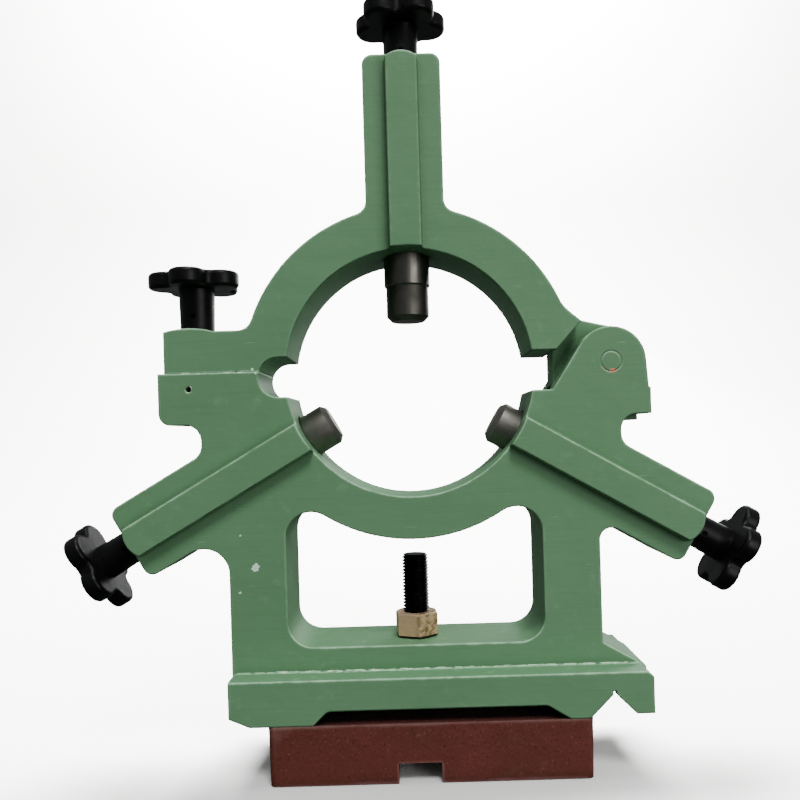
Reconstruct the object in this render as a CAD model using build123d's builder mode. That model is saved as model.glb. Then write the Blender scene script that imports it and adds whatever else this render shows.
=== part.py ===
from build123d import *
from math import acos, atan2, cos, hypot, radians, sin, sqrt, tan
import os

os.makedirs("parts", exist_ok=True)

# Steady rest of a lathe: a cast base and a hinged cast arch close round the work,
# and three screw-fed quills centre it. Millimetres and degrees.
# X runs to the right, -Y to the front and Z up. The origin is on the work axis,
# half way through the castings.

# Castings
centre_height = 200.0        # work axis above the bed seats
web_depth = 50.0             # thickness along the work axis
bore_radius = 73.0           # machined opening for the work
ring_radius = 98.0           # outside of the ring
joint_height = 3.0           # joint face of the two castings above the work axis
overrun = 6.0                # how far a cutting shape runs past what it cuts

# Round-ended reliefs cut across the ring at the joint
relief_radius = 11.7
relief_centre_x = 77.3
relief_centre_z = -0.7

# Arms that carry the quills
arm_width = 46.0
top_reach = 187.0
low_reach = 193.5
arm_end_round = 6.0
arm_root_round = 8.0
rib_width = 20.0
rib_height = 7.0
rib_crown = 3.5
rib_draft = 8.0              # degrees
arm_angles = {"top": 90, "left": 210, "right": 330}
arm_reaches = {"top": top_reach, "left": low_reach, "right": low_reach}

# Columns and the window between them
column_half_width = 109.0
column_top = -62.0
window_half_width = 75.5
sill_height = 40.0           # window's floor above the bed seats
window_round = 15.0
armpit_left_round = 15.0
armpit_right_round = 7.0

# Lugs on the left, clamped together by the locking screw
upper_lug_left = -144.0
upper_lug_side_top = 27.5
lug_crown = 2.0
upper_lug_right = -115.0
upper_lug_round = 9.0
lower_lug_left = -148.0
lower_lug_bottom = -27.5
lower_lug_round = 7.0
lug_overhang = 24.6          # lug beyond the neck under it
neck_round_share = 0.55      # of the height left beside the neck

# Hinge on the right: two ears on the base, one tongue on the arch
pin_x = 118.5
pin_z = 3.2
pin_radius = 6.0
pin_press_gap = 0.02
ear_radius = 20.6
ear_toe_x = 84.0
ear_right = 141.4
ear_bottom = -28.0
ear_overhang = 18.0          # ears beyond the neck under them
bridge_right = 137.0         # joins the ears behind their slot
bridge_bottom = -31.5
tongue_radius = 22.6
tongue_half_depth = 10.0
tongue_gap = 0.3             # between the tongue and each ear
tongue_sweep_gap = 0.7       # under the tongue's rim, as it turns
tongue_root_x = 97.0
tongue_root_z = 31.5
tongue_toe_x = 86.6
tongue_toe_z = -9.5
cheek_end_x = 86.6           # where the slanted end of the arch meets its ceiling
cheek_end_slope = 47.5       # degrees
cheek_flare_angle = 22.0     # degrees up the ring, where the flare starts
cheek_flare_x = 103.5
cheek_flare_z = 26.0
cheek_flare_round = 20.0

# Base block with its bed seats
base_half_depth = 42.0
base_height = 25.7           # ledge above the bed seats
base_left = -108.0
base_right = 133.6
base_left_cut_x = 12.0
base_left_cut_z = 5.0
base_top_cut = 3.0
recess_left = -52.0
recess_right = 73.0
recess_height = 8.0
recess_ramp_left = 8.0
recess_ramp_right = 13.0
recess_round = 5.0
vee_x = 111.2                # groove that sits on the bed's prism
vee_depth = 14.0
vee_slot_half_width = 1.0
vee_slot_depth = 1.0
lip_height = 2.0             # the lip beyond the groove ends above the feet
gusset_height = 38.5         # above the bed seats
gusset_right = 134.0
gusset_end_height = 24.0

# Quills, jaw tips and their feed
quill_radius = 14.0
quill_end_gap = 0.7          # behind a quill that is fully out
slide_gap = 0.05             # radial clearance of what slides or turns
quill_chamfer = 0.8
tip_radius = 13.0
tip_length = 21.0
tip_chamfer = 3.0
spigot_radius = 6.0
spigot_length = 9.5
spigot_hole_depth = 10.0
quill_front_wall = 13.0
keyway_width = 5.0
keyway_depth = 3.0
keyway_margin = 7.0          # beyond the guide screw at each end of the travel
jaw_in = 15.0                # tip face from the work axis, at each end of its travel
jaw_out = 62.0
top_jaw = 33.0               # and as it stands
left_jaw = 54.5
right_jaw = 58.0
feed_radius = 7.0
feed_nut_gap = 0.1
feed_end_gap = 2.0
collar_radius = 11.0
collar_length = 5.0
shank_radius = 6.0
end_float = 0.3
gland_radius = 16.0
gland_length = 16.0
gland_slot_width = 4.0
gland_slot_depth = 3.0
guide_place = 100.0          # guide screw's distance from the work axis
guide_radius = 4.0
dog_radius = 2.4
dog_end_gap = 0.3
hex_socket = 4.0
hex_socket_depth = 3.5

# Star knobs
hub_foot_radius = 10.2
hub_head_radius = 10.8
hub_height = 26.0
star_height = 10.0
star_round = 2.5
lobe_count = 5
lobe_radius = 10.8
lobe_centre_radius = 17.7
star_core_radius = 14.0
notch_round = 4.0
dome_radius = 9.0
dome_height = 2.5
socket_depth = 22.0
knob_gap = 0.3
cross_pin_radius = 1.5
cross_pin_height = 9.0
pin_sink = 0.4
dome_slope = 45.0            # degrees
knob_turns = {"top": 142.0, "left": 150.0, "right": 20.0, "lock": 177.0}   # degrees

# Locking screw through the lugs
lock_x = -130.0
lock_hole_radius = 6.5
lock_thread_radius = 5.05    # root of the M12 thread
lock_engagement = 14.0
lock_tapped_radius = 6.0
lock_tapped_depth = 22.0
washer_radius = 11.5
washer_thickness = 2.5
washer_seat_gap = 0.5
washer_bore_gap = 0.3
pit_radius = 1.75
pit_depth = 8.0
pit_z = -6.5

# Clamp plate, bolt and nut
plate_left = -86.0
plate_right = 99.0
plate_thickness = 34.0
plate_draft = 1.0            # degrees
plate_corner_round = 4.0
bolt_radius = 8.0
bolt_clear = 12.0            # from the bolt's top to the ring
bolt_hole_radius = 8.75
bolt_point = 1.2
hex_flats = 24.0
nut_height = 14.8
nut_turn = 38.0              # degrees
nut_chamfer_angle = 30.0     # degrees
head_height = 10.0
head_slot_gap = 0.25
head_recess = 1.5


def out_from_axis(angle, distance=1.0):
    """A point out along an arm, at a distance from the work axis."""
    return (distance * cos(radians(angle)), 0, distance * sin(radians(angle)))


def arm_plane(angle, y=0.0, facing=-1):
    """A plane square to the work axis, with its x axis out along an arm."""
    return Plane(origin=(0, y, 0), x_dir=out_from_axis(angle), z_dir=(0, facing, 0))


def arm_axis(angle):
    """The line that a quill slides along."""
    return Axis((0, 0, 0), out_from_axis(angle))


def cross_plane(angle, distance):
    """A plane square to an arm, at a distance from the work axis."""
    return Plane(origin=out_from_axis(angle, distance), x_dir=(0, 1, 0), z_dir=out_from_axis(angle))


def block(left, bottom, right, top, mode=Mode.ADD):
    """A rectangle between two corners, in the open sketch."""
    with Locations(((left + right) / 2, (bottom + top) / 2)):
        Rectangle(right - left, top - bottom, mode=mode)


def outline_edge(casting, x, z):
    """The edge along the work axis that passes nearest to a place in a casting's outline."""
    return casting.edges().filter_by(Axis.Y).sort_by_distance((x, 0, z))[0]


def touch(x, z, radius, centre_x, centre_z, side):
    """Where a straight line from a point touches a circle, on the side given by 1 or -1."""
    away = hypot(x - centre_x, z - centre_z)
    turn = atan2(z - centre_z, x - centre_x) + side * acos(radius / away)
    return (centre_x + radius * cos(turn), centre_z + radius * sin(turn))


def arm_edge(x, side):
    """Height of a lower arm's edge at a distance beside the work axis."""
    slope = radians(arm_angles["right"])
    return abs(x) * tan(slope) + side * arm_width / 2 / cos(slope)


tip_places = {"top": top_jaw, "left": left_jaw, "right": right_jaw}
quill_front_out = jaw_out + tip_length
feed_start = quill_front_out + quill_front_wall + feed_end_gap
collar_depth = gland_length + end_float + collar_length
quill_length = min(top_reach, low_reach) - collar_depth - quill_end_gap - quill_front_out
keyway_start = guide_place - quill_front_out - keyway_margin
keyway_end = guide_place - jaw_in - tip_length + keyway_margin
relief_floor = relief_centre_z - relief_radius
relief_ceiling = relief_centre_z + relief_radius
lug_crest = upper_lug_side_top + lug_crown
neck_left = lower_lug_left + lug_overhang
neck_right = ear_right - ear_overhang
feet = -centre_height
ledge = feet + base_height
window_floor = feet + sill_height
reach_all = 2 * centre_height


def hinge_lobe(radius, toe_x, toe_z):
    """The arch's tongue seen from the front: an eye round the pin, its back and its toe."""
    with Locations((pin_x, pin_z)):
        Circle(radius)
    top = touch(tongue_root_x, tongue_root_z, radius, pin_x, pin_z, -1)
    under = touch(toe_x, toe_z, radius, pin_x, pin_z, 1)
    Polygon(
        (toe_x, relief_ceiling),
        (toe_x, toe_z),
        under,
        (pin_x, pin_z),
        top,
        (tongue_root_x, tongue_root_z),
        (toe_x, tongue_root_z),
    )


def rib_outline(reach):
    """Outline of the raised rib on an arm, crowned at its outer end."""
    inner = bore_radius - overrun
    half = rib_width / 2
    with BuildLine() as edge:
        Polyline((reach - rib_crown, -half), (inner, -half), (inner, half), (reach - rib_crown, half))
        ThreePointArc((reach - rib_crown, half), (reach, 0), (reach - rib_crown, -half))
    make_face(edge.edges())


def quill_way(reach):
    """Half section of the hole through an arm: the quill's bore, then the gland's seat."""
    seat = reach - gland_length
    Polygon(
        (bore_radius - overrun, 0),
        (bore_radius - overrun, quill_radius + slide_gap),
        (seat, quill_radius + slide_gap),
        (seat, gland_radius),
        (reach + overrun, gland_radius),
        (reach + overrun, 0),
    )


# Base casting: half ring, lower arms, columns, lower lug, hinge ears and bed seats
with BuildPart() as base_casting:
    with BuildSketch(Plane.XZ) as base_web:
        Circle(ring_radius)
        for side in ("left", "right"):
            RectangleRounded(
                low_reach, arm_width, arm_end_round, rotation=arm_angles[side], align=(Align.MIN, Align.CENTER)
            )
        block(-column_half_width, ledge - overrun, column_half_width, column_top)
        block(neck_left, column_top, neck_right, lower_lug_bottom + overrun)
        block(lower_lug_left, lower_lug_bottom, -relief_centre_x, joint_height + overrun)
        block(ring_radius - overrun, ear_bottom, ear_right, relief_floor)
    extrude(amount=web_depth / 2, both=True)
    neck_round_left = neck_round_share * (lower_lug_bottom - arm_edge(neck_left, 1))
    neck_round_right = neck_round_share * (ear_bottom - arm_edge(neck_right, 1))
    for x, z, radius in (
        (-column_half_width, arm_edge(column_half_width, -1), armpit_left_round),
        (column_half_width, arm_edge(column_half_width, -1), armpit_right_round),
        (neck_left, lower_lug_bottom, neck_round_left),
        (neck_left, arm_edge(neck_left, 1), neck_round_left),
        (neck_right, ear_bottom, neck_round_right),
        (neck_right, arm_edge(neck_right, 1), neck_round_right),
        (lower_lug_left, lower_lug_bottom, lower_lug_round),
    ):
        fillet(outline_edge(base_casting, x, z), radius)

    # Gusset from the right column down to the base block
    with BuildSketch(Plane.XZ):
        Polygon(
            (column_half_width - overrun, feet + gusset_height),
            (column_half_width, feet + gusset_height),
            (gusset_right, feet + gusset_end_height),
            (gusset_right, feet + gusset_end_height - overrun),
            (column_half_width - overrun, feet + gusset_end_height - overrun),
        )
    extrude(amount=web_depth / 2, both=True)

    # Window under the ring
    with BuildSketch(Plane.XZ):
        block(-window_half_width, window_floor, window_half_width, column_top)
        Circle(ring_radius, mode=Mode.SUBTRACT)
    extrude(amount=web_depth / 2, both=True, mode=Mode.SUBTRACT)
    ring_meets = -sqrt(ring_radius**2 - window_half_width**2)
    for x in (-window_half_width, window_half_width):
        for z in (window_floor, ring_meets):
            fillet(outline_edge(base_casting, x, z), window_round)

    # Machined joint face on the left, floor of the relief on the right
    with BuildSketch(Plane.XZ):
        block(-reach_all, joint_height, 0, reach_all)
        block(0, relief_floor, reach_all, reach_all)
    extrude(amount=web_depth, both=True, mode=Mode.SUBTRACT)

    # Ears round the hinge pin, parted by the slot for the tongue, with a bridge under it
    with BuildSketch(Plane.XZ) as ear:
        with Locations((pin_x, pin_z)):
            Circle(ear_radius)
        Polygon(
            (ear_toe_x, relief_floor - overrun),
            (ear_toe_x, relief_floor),
            touch(ear_toe_x, relief_floor, ear_radius, pin_x, pin_z, -1),
            (pin_x, pin_z),
            touch(ear_right, ear_bottom, ear_radius, pin_x, pin_z, 1),
            (ear_right, ear_bottom),
            (ring_radius, ear_bottom),
        )
    extrude(amount=web_depth / 2, both=True)
    with BuildSketch(Plane.XZ):
        block(neck_right - overrun, bridge_bottom, bridge_right, ear_bottom + overrun)
    extrude(amount=tongue_half_depth, both=True)
    with BuildSketch(Plane.XZ):
        hinge_lobe(tongue_radius + tongue_sweep_gap, ear_toe_x - overrun, relief_floor)
    extrude(amount=tongue_half_depth + tongue_gap, both=True, mode=Mode.SUBTRACT)

    # Ribs along the lower arms, on both faces
    for side in ("left", "right"):
        for face in (-1, 1):
            with BuildSketch(arm_plane(arm_angles[side], face * web_depth / 2, face)):
                rib_outline(low_reach)
            extrude(amount=rib_height, taper=rib_draft)

    # Base block: feet, recess between them, groove for the bed's prism and its lip
    with BuildSketch(Plane.XZ):
        Polygon(
            (base_left, ledge),
            (base_left, feet + base_left_cut_z),
            (base_left + base_left_cut_x, feet),
            (recess_left - recess_ramp_left, feet),
            (recess_left, feet + recess_height),
            (recess_right, feet + recess_height),
            (recess_right + recess_ramp_right, feet),
            (vee_x - vee_depth, feet),
            (vee_x - vee_slot_half_width, feet + vee_depth - vee_slot_half_width),
            (vee_x - vee_slot_half_width, feet + vee_depth + vee_slot_depth),
            (vee_x + vee_slot_half_width, feet + vee_depth + vee_slot_depth),
            (vee_x + vee_slot_half_width, feet + vee_depth - vee_slot_half_width),
            (vee_x + vee_depth - lip_height, feet + lip_height),
            (base_right, feet + lip_height),
            (base_right, ledge - base_top_cut),
            (base_right - base_top_cut, ledge),
        )
    extrude(amount=base_half_depth, both=True)
    for x in (recess_left, recess_right):
        fillet(outline_edge(base_casting, x, feet + recess_height), recess_round)

    # Bore for the work, and the relief beside it on the left
    with BuildSketch(Plane.XZ):
        Circle(bore_radius)
        with Locations((-relief_centre_x, relief_centre_z)):
            Circle(relief_radius)
        block(-relief_centre_x, relief_floor, 0, relief_ceiling)
    extrude(amount=web_depth, both=True, mode=Mode.SUBTRACT)

    # Quill ways, with a guide screw through the back rib of each
    for side in ("left", "right"):
        with BuildSketch(arm_plane(arm_angles[side])):
            quill_way(low_reach)
        revolve(axis=arm_axis(arm_angles[side]), mode=Mode.SUBTRACT)
        with BuildSketch(arm_plane(arm_angles[side], web_depth / 2 + rib_height, 1)):
            with Locations((guide_place, 0)):
                Circle(guide_radius)
        extrude(amount=-(web_depth / 2 + rib_height - quill_radius / 2), mode=Mode.SUBTRACT)

    # Hinge pin, tapped lock hole, blind pit over it, and the clamp bolt's hole
    with BuildSketch(Plane.XZ):
        with Locations((pin_x, pin_z)):
            Circle(pin_radius + pin_press_gap)
    extrude(amount=web_depth, both=True, mode=Mode.SUBTRACT)
    with BuildSketch(Plane.XY.offset(joint_height)):
        with Locations((lock_x, 0)):
            Circle(lock_tapped_radius)
    extrude(amount=-lock_tapped_depth, mode=Mode.SUBTRACT)
    with BuildSketch(Plane.XZ.offset(web_depth / 2)):
        with Locations((lock_x, pit_z)):
            Circle(pit_radius)
    extrude(amount=-pit_depth, mode=Mode.SUBTRACT)
    with BuildSketch(Plane.XY.offset(feet)):
        Circle(bolt_hole_radius)
    extrude(amount=sill_height + overrun, mode=Mode.SUBTRACT)

# Arch casting: upper half ring, top arm, upper lug and the hinge's tongue
with BuildPart() as arch_casting:
    with BuildSketch(Plane.XZ):
        Circle(ring_radius)
        RectangleRounded(
            top_reach, arm_width, arm_end_round, rotation=arm_angles["top"], align=(Align.MIN, Align.CENTER)
        )
        with BuildLine():
            lug_right_end = (upper_lug_right, upper_lug_side_top)
            Polyline(
                (upper_lug_left, upper_lug_side_top),
                (upper_lug_left, joint_height - overrun),
                (-relief_centre_x, joint_height - overrun),
                (-relief_centre_x, upper_lug_side_top),
                lug_right_end,
            )
            ThreePointArc(lug_right_end, (lock_x, lug_crest), (upper_lug_left, upper_lug_side_top))
        make_face()
        flare = out_from_axis(cheek_flare_angle, ring_radius)
        Polygon(
            (relief_centre_x, relief_ceiling),
            (cheek_flare_x, relief_ceiling),
            (cheek_flare_x, cheek_flare_z),
            (flare[0], flare[2]),
            (relief_centre_x, flare[2]),
        )
    extrude(amount=web_depth / 2, both=True)
    arm_root = sqrt(ring_radius**2 - (arm_width / 2) ** 2)
    lug_root = -sqrt(ring_radius**2 - upper_lug_side_top**2)
    for x, z, radius in (
        (-arm_width / 2, arm_root, arm_root_round),
        (arm_width / 2, arm_root, arm_root_round),
        (lug_root, upper_lug_side_top, upper_lug_round),
        (flare[0], flare[2], cheek_flare_round),
    ):
        fillet(outline_edge(arch_casting, x, z), radius)

    # Joint face on the left; ceiling of the relief and slanted cheek end on the right
    run = reach_all * cos(radians(cheek_end_slope))
    rise = reach_all * sin(radians(cheek_end_slope))
    with BuildSketch(Plane.XZ):
        block(-reach_all, -reach_all, 0, joint_height)
        Polygon(
            (0, -reach_all),
            (reach_all, -reach_all),
            (cheek_end_x + run, relief_ceiling + rise),
            (cheek_end_x, relief_ceiling),
            (0, relief_ceiling),
        )
    extrude(amount=web_depth, both=True, mode=Mode.SUBTRACT)

    # Tongue between the ears
    with BuildSketch(Plane.XZ):
        hinge_lobe(tongue_radius, tongue_toe_x, tongue_toe_z)
    extrude(amount=tongue_half_depth, both=True)

    # Ribs of the top arm
    for face in (-1, 1):
        with BuildSketch(arm_plane(arm_angles["top"], face * web_depth / 2, face)):
            rib_outline(top_reach)
        extrude(amount=rib_height, taper=rib_draft)

    # Bore, relief on the left and the quill's way
    with BuildSketch(Plane.XZ):
        Circle(bore_radius)
        with Locations((-relief_centre_x, relief_centre_z)):
            Circle(relief_radius)
        block(-relief_centre_x, relief_floor, 0, relief_ceiling)
    extrude(amount=web_depth, both=True, mode=Mode.SUBTRACT)
    with BuildSketch(arm_plane(arm_angles["top"])):
        quill_way(top_reach)
    revolve(axis=arm_axis(arm_angles["top"]), mode=Mode.SUBTRACT)
    with BuildSketch(arm_plane(arm_angles["top"], web_depth / 2 + rib_height, 1)):
        with Locations((guide_place, 0)):
            Circle(guide_radius)
    extrude(amount=-(web_depth / 2 + rib_height - quill_radius / 2), mode=Mode.SUBTRACT)

    # Hinge pin's running hole, lock screw's hole and the washer's seat
    with BuildSketch(Plane.XZ):
        with Locations((pin_x, pin_z)):
            Circle(pin_radius + slide_gap)
    extrude(amount=web_depth, both=True, mode=Mode.SUBTRACT)
    with BuildSketch(Plane.XY):
        with Locations((lock_x, 0)):
            Circle(lock_hole_radius)
    extrude(amount=lug_crest + overrun, mode=Mode.SUBTRACT)
    with BuildSketch(Plane.XY.offset(lug_crest - washer_thickness)):
        with Locations((lock_x, 0)):
            Circle(washer_radius + washer_seat_gap)
    extrude(amount=washer_thickness + overrun, mode=Mode.SUBTRACT)

# Hinge pin, pressed into both ears and filed flush
with BuildPart() as hinge_pin:
    with BuildSketch(Plane.XZ):
        with Locations((pin_x, pin_z)):
            Circle(pin_radius)
    extrude(amount=web_depth / 2, both=True)


def keep(part, name):
    """Label a finished piece and write it to its own file."""
    part.label = name
    export_step(part, f"parts/{name}.step")


def make_quill(side):
    """Round quill with a keyway along its back, a spigot hole in front and the feed thread behind."""
    angle = arm_angles[side]
    front = tip_places[side] + tip_length
    back = front + quill_length
    with BuildPart() as quill:
        with BuildSketch(arm_plane(angle)):
            Polygon(
                (front, spigot_radius + slide_gap),
                (front, quill_radius - quill_chamfer),
                (front + quill_chamfer, quill_radius),
                (back - quill_chamfer, quill_radius),
                (back, quill_radius - quill_chamfer),
                (back, feed_radius + feed_nut_gap),
                (front + quill_front_wall, feed_radius + feed_nut_gap),
                (front + quill_front_wall, 0),
                (front + spigot_hole_depth, 0),
                (front + spigot_hole_depth, spigot_radius + slide_gap),
            )
        revolve(axis=arm_axis(angle))
        with BuildSketch(arm_plane(angle, quill_radius, 1)):
            with Locations((front + (keyway_start + keyway_end) / 2, 0)):
                SlotOverall(keyway_end - keyway_start, keyway_width)
        extrude(amount=-keyway_depth, mode=Mode.SUBTRACT)
    keep(quill.part, f"{side}_quill")


def make_jaw_tip(side):
    """Jaw tip: a chamfered plug whose spigot sits in the quill's front."""
    angle = arm_angles[side]
    front = tip_places[side]
    with BuildPart() as jaw_tip:
        with BuildSketch(arm_plane(angle)):
            Polygon(
                (front, 0),
                (front, tip_radius - tip_chamfer),
                (front + tip_chamfer, tip_radius),
                (front + tip_length, tip_radius),
                (front + tip_length, spigot_radius),
                (front + tip_length + spigot_length, spigot_radius),
                (front + tip_length + spigot_length, 0),
            )
        revolve(axis=arm_axis(angle))
    keep(jaw_tip.part, f"{side}_jaw_tip")


def make_feed_screw(side):
    """Feed screw: thread, thrust collar behind the gland, and a shank up into the knob."""
    angle = arm_angles[side]
    reach = arm_reaches[side]
    collar_end = reach - gland_length - end_float
    collar_start = collar_end - collar_length
    top = reach + knob_gap + socket_depth
    with BuildPart() as feed_screw:
        with BuildSketch(arm_plane(angle)):
            Polygon(
                (feed_start, 0),
                (feed_start, feed_radius - quill_chamfer),
                (feed_start + quill_chamfer, feed_radius),
                (collar_start, feed_radius),
                (collar_start, collar_radius),
                (collar_end, collar_radius),
                (collar_end, shank_radius),
                (top, shank_radius),
                (top, 0),
            )
        revolve(axis=arm_axis(angle))
        with BuildSketch(arm_plane(angle)):
            with Locations((reach + knob_gap + cross_pin_height, 0)):
                Circle(cross_pin_radius + pin_press_gap)
        extrude(amount=hub_foot_radius, both=True, mode=Mode.SUBTRACT)
    keep(feed_screw.part, f"{side}_feed_screw")


def make_gland(side):
    """Screwed gland that closes the arm and takes the feed's thrust, with a spanner slot."""
    angle = arm_angles[side]
    reach = arm_reaches[side]
    with BuildPart() as gland:
        with BuildSketch(cross_plane(angle, reach - gland_length)):
            Circle(gland_radius - slide_gap)
            Circle(shank_radius + slide_gap, mode=Mode.SUBTRACT)
        extrude(amount=gland_length)
        with BuildSketch(cross_plane(angle, reach)):
            Rectangle(2 * gland_radius, gland_slot_width)
        extrude(amount=-gland_slot_depth, mode=Mode.SUBTRACT)
    keep(gland.part, f"{side}_gland")


def make_guide_screw(side):
    """Socket set screw from the back, whose dog keeps the quill from turning."""
    angle = arm_angles[side]
    outer = web_depth / 2 + rib_height
    with BuildPart() as guide_screw:
        with BuildSketch(arm_plane(angle, outer, 1)):
            with Locations((guide_place, 0)):
                Circle(guide_radius - slide_gap)
        extrude(amount=-(outer - quill_radius - dog_end_gap))
        with BuildSketch(arm_plane(angle, outer, 1)):
            with Locations((guide_place, 0)):
                Circle(dog_radius)
        extrude(amount=-(outer - quill_radius + keyway_depth - dog_end_gap))
        with BuildSketch(arm_plane(angle, outer, 1)):
            with Locations((guide_place, 0)):
                RegularPolygon(hex_socket / 2, 6, major_radius=False)
        extrude(amount=-hex_socket_depth, mode=Mode.SUBTRACT)
    keep(guide_screw.part, f"{side}_guide_screw")


def star_outline(turn):
    """Round lobes about a hub, with hollows between them."""
    Circle(star_core_radius)
    with PolarLocations(lobe_centre_radius, lobe_count, start_angle=turn):
        Circle(lobe_radius)


def make_knob(name, foot, turn):
    """Moulded star knob: tapered hub, lobed star and a low dome, with a socket for its screw."""
    with BuildPart() as knob:
        with BuildSketch(foot.offset(hub_height)) as star:
            star_outline(turn)
            fillet(star.vertices(), notch_round)
        extrude(amount=star_height)
        fillet(knob.faces().filter_by(foot).edges(), star_round)
        with BuildSketch(foot):
            Circle(hub_foot_radius)
        with BuildSketch(foot.offset(hub_height)):
            Circle(hub_head_radius)
        loft()
        with BuildSketch(foot.offset(hub_height + star_height)):
            Circle(dome_radius)
        extrude(amount=dome_height, taper=dome_slope)
        with BuildSketch(foot):
            Circle(shank_radius + slide_gap)
        extrude(amount=socket_depth, mode=Mode.SUBTRACT)
        with BuildSketch(pin_plane(foot)):
            Circle(cross_pin_radius + pin_press_gap)
        extrude(amount=hub_head_radius, both=True, mode=Mode.SUBTRACT)
    keep(knob.part, name)


def pin_plane(foot):
    """A plane across a knob's hub at its cross pin, facing the front."""
    origin = foot.origin + foot.z_dir * cross_pin_height
    return Plane(origin=origin, x_dir=foot.z_dir, z_dir=(0, -1, 0))


def make_cross_pin(name, foot):
    """Pin through the hub and the screw's shank."""
    with BuildPart() as cross_pin:
        with BuildSketch(pin_plane(foot)):
            Circle(cross_pin_radius)
        extrude(amount=hub_foot_radius - pin_sink, both=True)
    keep(cross_pin.part, name)


keep(base_casting.part, "base_casting")
keep(arch_casting.part, "arch_casting")
keep(hinge_pin.part, "hinge_pin")

for side in arm_angles:
    make_jaw_tip(side)
    make_quill(side)
    make_feed_screw(side)
    make_gland(side)
    make_guide_screw(side)
    knob_foot = cross_plane(arm_angles[side], arm_reaches[side] + knob_gap)
    make_knob(f"{side}_knob", knob_foot, knob_turns[side])
    make_cross_pin(f"{side}_knob_pin", knob_foot)

# Locking knob, its screw down into the lower lug, and the washer under it
lock_foot = Plane(origin=(lock_x, 0, lug_crest + knob_gap), x_dir=(0, 1, 0), z_dir=(0, 0, 1))
make_knob("lock_knob", lock_foot, knob_turns["lock"])
make_cross_pin("lock_knob_pin", lock_foot)
with BuildPart() as lock_screw:
    with BuildSketch(Plane.XY.offset(joint_height)):
        with Locations((lock_x, 0)):
            Circle(shank_radius)
    extrude(amount=lug_crest + knob_gap + socket_depth - joint_height)
    with BuildSketch(Plane.XY.offset(joint_height)):
        with Locations((lock_x, 0)):
            Circle(lock_thread_radius)
    extrude(amount=-lock_engagement)
    chamfer(lock_screw.faces().sort_by(Axis.Z)[0].edges(), bolt_point)
    with BuildSketch(pin_plane(lock_foot)):
        Circle(cross_pin_radius + pin_press_gap)
    extrude(amount=hub_foot_radius, both=True, mode=Mode.SUBTRACT)
keep(lock_screw.part, "lock_screw")

with BuildPart() as lock_washer:
    with BuildSketch(Plane.XY.offset(lug_crest - washer_thickness)):
        with Locations((lock_x, 0)):
            Circle(washer_radius)
            Circle(shank_radius + washer_bore_gap, mode=Mode.SUBTRACT)
    extrude(amount=washer_thickness)
keep(lock_washer.part, "lock_washer")

# Clamp plate: cast block drawn up under the bed, with a slot that holds the bolt's head
head_slot_depth = head_height + head_recess
with BuildPart() as clamp_plate:
    with BuildSketch(Plane.XY.offset(feet)) as plate_outline:
        block(plate_left, -base_half_depth, plate_right, base_half_depth)
        fillet(plate_outline.vertices(), plate_corner_round)
    extrude(amount=-plate_thickness, taper=plate_draft)
    with BuildSketch(Plane.XY.offset(feet - plate_thickness)):
        Rectangle(hex_flats + 2 * head_slot_gap, 2 * base_half_depth + overrun)
    extrude(amount=head_slot_depth, mode=Mode.SUBTRACT)
    with BuildSketch(Plane.XY.offset(feet)):
        Circle(bolt_hole_radius)
    extrude(amount=-plate_thickness, mode=Mode.SUBTRACT)
keep(clamp_plate.part, "clamp_plate")

# Clamp bolt, head down in the plate's slot
head_top = feet - plate_thickness + head_slot_depth
bolt_top = -ring_radius - bolt_clear
with BuildPart() as clamp_bolt:
    with BuildSketch(Plane.XY.offset(head_top)):
        RegularPolygon(hex_flats / 2, 6, major_radius=False, rotation=180 / 6)
    extrude(amount=-head_height)
    with BuildSketch(Plane.XY.offset(head_top)):
        Circle(bolt_radius)
    extrude(amount=bolt_top - head_top)
    chamfer(clamp_bolt.faces().sort_by(Axis.Z)[-1].edges(), bolt_point)
keep(clamp_bolt.part, "clamp_bolt")

# Clamp nut on the window's floor, its corners turned off at both faces
with BuildPart() as clamp_nut:
    with BuildSketch(Plane.XY.offset(window_floor)):
        RegularPolygon(hex_flats / 2, 6, major_radius=False, rotation=nut_turn)
        Circle(bolt_radius + slide_gap, mode=Mode.SUBTRACT)
    extrude(amount=nut_height)
    corner_radius = hex_flats / 2 / cos(radians(nut_chamfer_angle))
    corner_drop = (corner_radius - hex_flats / 2) * tan(radians(nut_chamfer_angle))
    with BuildSketch(Plane.XZ):
        Polygon(
            (0, window_floor),
            (hex_flats / 2, window_floor),
            (corner_radius, window_floor + corner_drop),
            (corner_radius, window_floor + nut_height - corner_drop),
            (hex_flats / 2, window_floor + nut_height),
            (0, window_floor + nut_height),
        )
    revolve(axis=Axis.Z, mode=Mode.INTERSECT)
keep(clamp_nut.part, "clamp_nut")
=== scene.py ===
"""Looks of a lathe's steady rest: paint, metal, plastic, threads, camera and light."""
import bmesh
import bpy
from math import cos, hypot, pi, radians, sin, tau
from mathutils import Matrix, Vector


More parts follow.
